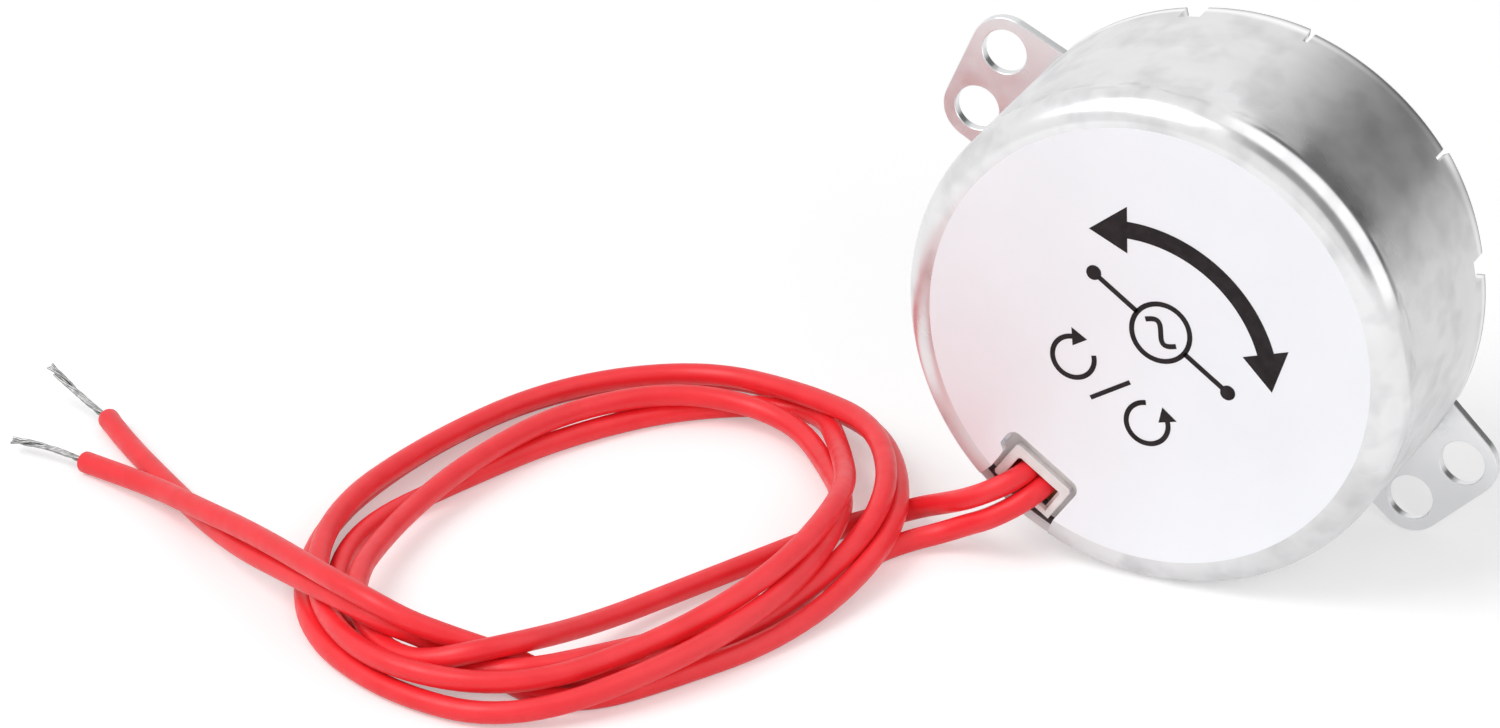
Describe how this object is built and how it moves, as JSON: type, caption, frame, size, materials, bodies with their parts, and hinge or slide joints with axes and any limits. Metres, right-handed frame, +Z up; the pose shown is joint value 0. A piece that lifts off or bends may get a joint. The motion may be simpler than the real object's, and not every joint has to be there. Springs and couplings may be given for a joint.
{
  "type": "synchronous gear motor",
  "caption": "Small round AC synchronous gear motor with a D-cut output shaft, mounting ears and two red coiled leads, its gear train and claw-pole rotor inside",
  "frame": {"origin": "centre of the bottom of the motor without its leads, on the floor under the rim", "axes": "+Y along the output shaft, out of the front cover; +Z up with the motor standing on its rim; +X to the right as seen from the plain back face"},
  "size_m": [0.1365, 0.0845, 0.05],
  "materials": {
    "zinc_steel": "satin zinc plating",
    "steel": "plain sheet steel",
    "bright_steel": "ground",
    "brass": "turned",
    "white_plastic": "moulded nylon",
    "gear_plastic": "moulded acetal",
    "ferrite": "sintered magnet",
    "copper_wire": "enamelled copper wire",
    "red_insulation": "satin PVC",
    "tinned_strand": "tinned copper"
  },
  "bodies": {
    "motor": {"back_housing": "zinc_steel", "front_cover": "zinc_steel", "output_bush": "brass", "spacer_posts": "steel", "lower_pole_plate": "steel", "upper_pole_plate": "steel", "coil_bobbin": "white_plastic", "coil_winding": "copper_wire", "lead_guide": "white_plastic", "gear_plate": "steel", "rotor_pin": "bright_steel", "rotor_washer": "gear_plastic", "gear_1_pin": "bright_steel", "gear_2_pin": "bright_steel", "gear_3_pin": "bright_steel", "lead_a_exit": "red_insulation", "lead_a_loops": "red_insulation", "lead_a_tail": "red_insulation", "lead_a_strands": "tinned_strand", "lead_b_exit": "red_insulation", "lead_b_loops": "red_insulation", "lead_b_tail": "red_insulation", "lead_b_strands": "tinned_strand"},
    "output": {"output_shaft": "bright_steel", "output_gear": "gear_plastic", "thrust_washer": "gear_plastic"},
    "gear_3": {"gear_3": "gear_plastic"},
    "gear_2": {"gear_2": "gear_plastic"},
    "gear_1": {"gear_1": "gear_plastic"},
    "rotor": {"rotor_hub": "gear_plastic", "rotor_magnet": "ferrite"}
  },
  "joints": [
    {"name": "output_spin", "type": "hinge", "parent": "motor", "child": "output", "pos_m": [0.00771, 0, 0.03399], "axis": [0, 1, 0], "continuous": true},
    {"name": "gear_3_spin", "type": "hinge", "parent": "motor", "child": "gear_3", "pos_m": [0.00902, 0, 0.01844], "axis": [0, 1, 0], "continuous": true},
    {"name": "gear_2_spin", "type": "hinge", "parent": "motor", "child": "gear_2", "pos_m": [-0.00195, 0, 0.01484], "axis": [0, 1, 0], "continuous": true},
    {"name": "gear_1_spin", "type": "hinge", "parent": "motor", "child": "gear_1", "pos_m": [-0.0105, 0, 0.02326], "axis": [0, 1, 0], "continuous": true},
    {"name": "rotor_spin", "type": "hinge", "parent": "motor", "child": "rotor", "pos_m": [0.00137, 0, 0.025], "axis": [0, 1, 0], "continuous": true}
  ],
  "couplings": [
    {"joint": "gear_3_spin", "follows": "output_spin", "ratio": -3.3333},
    {"joint": "gear_2_spin", "follows": "output_spin", "ratio": 8.3333},
    {"joint": "gear_1_spin", "follows": "output_spin", "ratio": -25},
    {"joint": "rotor_spin", "follows": "output_spin", "ratio": 75}
  ]
}
